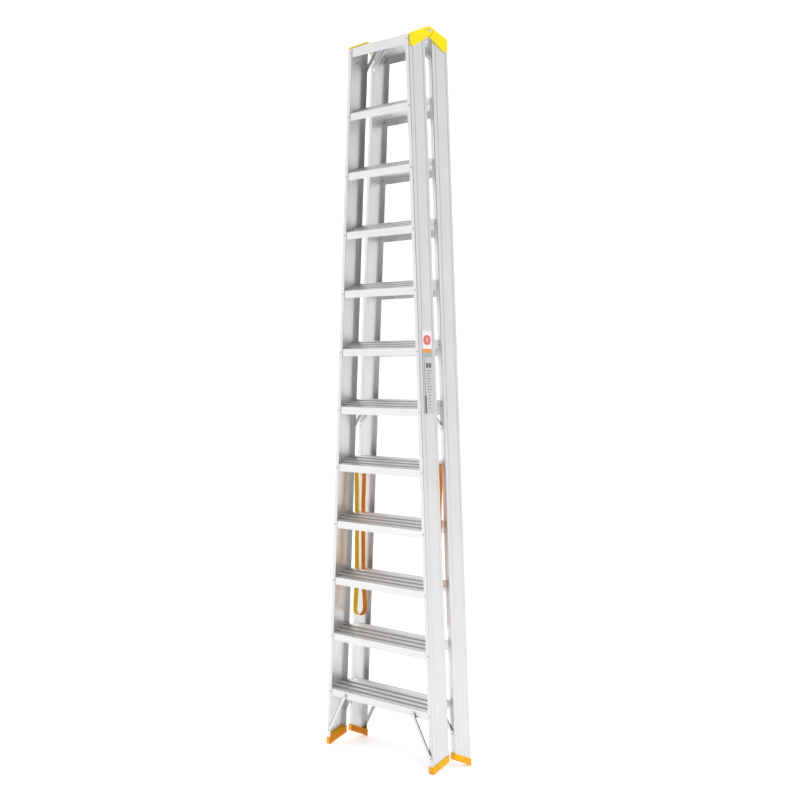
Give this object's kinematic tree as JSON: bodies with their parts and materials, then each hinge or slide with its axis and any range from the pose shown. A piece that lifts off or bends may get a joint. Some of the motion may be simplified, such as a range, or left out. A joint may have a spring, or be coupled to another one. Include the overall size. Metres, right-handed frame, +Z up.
{
  "type": "double-sided step ladder",
  "caption": "Tall aluminium A-frame step ladder with treads on both sides, hinged at the top, with webbing spreader straps and angled feet, shown closed.",
  "frame": {"origin": "on the floor, in the middle of the closed ladder, at the bottom centre of its box", "axes": "+X along the treads, to the right as seen from the front; the front frame is on -Y and the rear frame on +Y; +Z up the ladder"},
  "size_m": [0.8358, 0.278, 3.684],
  "materials": {
    "stile_aluminium": "mill-finish extrusion, fine lines along its length",
    "tread_aluminium": "mill-finish extrusion, fine lines along its length",
    "brace_metal": "zinc plated strip",
    "rivet_metal": "set rivets",
    "zinc_steel": "zinc plated",
    "hinge_yellow": "yellow powder coat",
    "foot_plastic": "moulded orange, slightly rough",
    "webbing": "woven gold webbing",
    "label_film": "printed film"
  },
  "bodies": {
    "hinge_pins": {"right_hinge_pin": "zinc_steel", "left_hinge_pin": "zinc_steel", "hinge_washers": "zinc_steel"},
    "front_frame": {"front_right_stile": "stile_aluminium", "front_left_stile": "stile_aluminium", "front_right_foot": "foot_plastic", "front_left_foot": "foot_plastic", "front_tread_01": "tread_aluminium", "front_tread_02": "tread_aluminium", "front_tread_03": "tread_aluminium", "front_tread_04": "tread_aluminium", "front_tread_05": "tread_aluminium", "front_tread_06": "tread_aluminium", "front_tread_07": "tread_aluminium", "front_tread_08": "tread_aluminium", "front_tread_09": "tread_aluminium", "front_tread_10": "tread_aluminium", "front_tread_11": "tread_aluminium", "front_tread_12": "tread_aluminium", "front_top_braces": "brace_metal", "front_middle_braces": "brace_metal", "front_bottom_inner_braces": "brace_metal", "front_bottom_outer_braces": "brace_metal", "front_tread_rivets": "rivet_metal", "front_brace_rivets": "rivet_metal", "front_hinge_rivets": "hinge_yellow", "front_strap_bolts": "zinc_steel", "front_right_hinge_plate": "hinge_yellow", "front_left_hinge_plate": "hinge_yellow", "front_label": "label_film"},
    "rear_frame": {"rear_right_stile": "stile_aluminium", "rear_left_stile": "stile_aluminium", "rear_right_foot": "foot_plastic", "rear_left_foot": "foot_plastic", "rear_tread_01": "tread_aluminium", "rear_tread_02": "tread_aluminium", "rear_tread_03": "tread_aluminium", "rear_tread_04": "tread_aluminium", "rear_tread_05": "tread_aluminium", "rear_tread_06": "tread_aluminium", "rear_tread_07": "tread_aluminium", "rear_tread_08": "tread_aluminium", "rear_tread_09": "tread_aluminium", "rear_tread_10": "tread_aluminium", "rear_tread_11": "tread_aluminium", "rear_tread_12": "tread_aluminium", "rear_top_braces": "brace_metal", "rear_middle_braces": "brace_metal", "rear_bottom_inner_braces": "brace_metal", "rear_bottom_outer_braces": "brace_metal", "rear_tread_rivets": "rivet_metal", "rear_brace_rivets": "rivet_metal", "rear_hinge_rivets": "hinge_yellow", "rear_strap_bolts": "zinc_steel", "rear_right_hinge_plate": "hinge_yellow", "rear_left_hinge_plate": "hinge_yellow"},
    "front_straps": {"front_right_strap": "webbing", "front_left_strap": "webbing"},
    "rear_straps": {"rear_right_strap": "webbing", "rear_left_strap": "webbing"}
  },
  "joints": [
    {"name": "front_frame_hinge", "type": "hinge", "parent": "hinge_pins", "child": "front_frame", "pos_m": [0, 0, 3.662], "axis": [-1, 0, 0], "range_deg": [0, 22]},
    {"name": "rear_frame_hinge", "type": "hinge", "parent": "hinge_pins", "child": "rear_frame", "pos_m": [0, 0, 3.662], "axis": [1, 0, 0], "range_deg": [0, 22]},
    {"name": "front_strap_swing", "type": "hinge", "parent": "front_frame", "child": "front_straps", "pos_m": [0, -0.0226, 1.517], "axis": [1, 0, 0], "range_deg": [0, 112.5], "deforming": ["front_right_strap", "front_left_strap"]},
    {"name": "rear_strap_swing", "type": "hinge", "parent": "rear_frame", "child": "rear_straps", "pos_m": [0, 0.0226, 1.517], "axis": [-1, 0, 0], "range_deg": [0, 112.5], "deforming": ["rear_right_strap", "rear_left_strap"]}
  ],
  "couplings": [
    {"joint": "rear_frame_hinge", "follows": "front_frame_hinge", "ratio": 1},
    {"joint": "front_strap_swing", "follows": "front_frame_hinge", "ratio": 5.0909},
    {"joint": "rear_strap_swing", "follows": "front_frame_hinge", "ratio": 5.0909}
  ]
}
